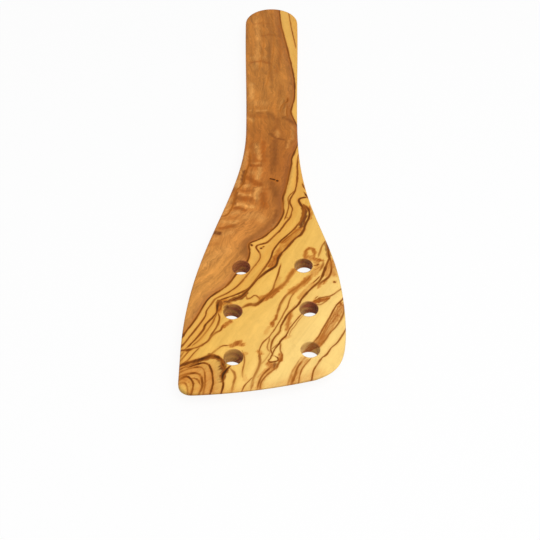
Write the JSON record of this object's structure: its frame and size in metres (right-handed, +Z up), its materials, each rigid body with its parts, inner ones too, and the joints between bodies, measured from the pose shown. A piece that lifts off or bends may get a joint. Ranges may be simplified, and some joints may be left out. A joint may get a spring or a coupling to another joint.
{
  "type": "perforated wooden spatula",
  "caption": "Flat carved olive wood spatula with a flared blade, a thin slanted front edge, round drain holes and a straight flat handle.",
  "frame": {"origin": "on the flat underside, on the handle's centre line, half way along the board's length", "axes": "+Y along the handle from the blade towards the handle's free end, +Z up out of the top face, +X to the blade's shorter right side"},
  "size_m": [0.0794, 0.3, 0.0085],
  "materials": {
    "olive_wood": "sanded smooth and oiled, satin, pale sapwood with orange-brown heartwood and dark wandering veins"
  },
  "bodies": {
    "root": {"spatula": "olive_wood"}
  },
  "joints": []
}
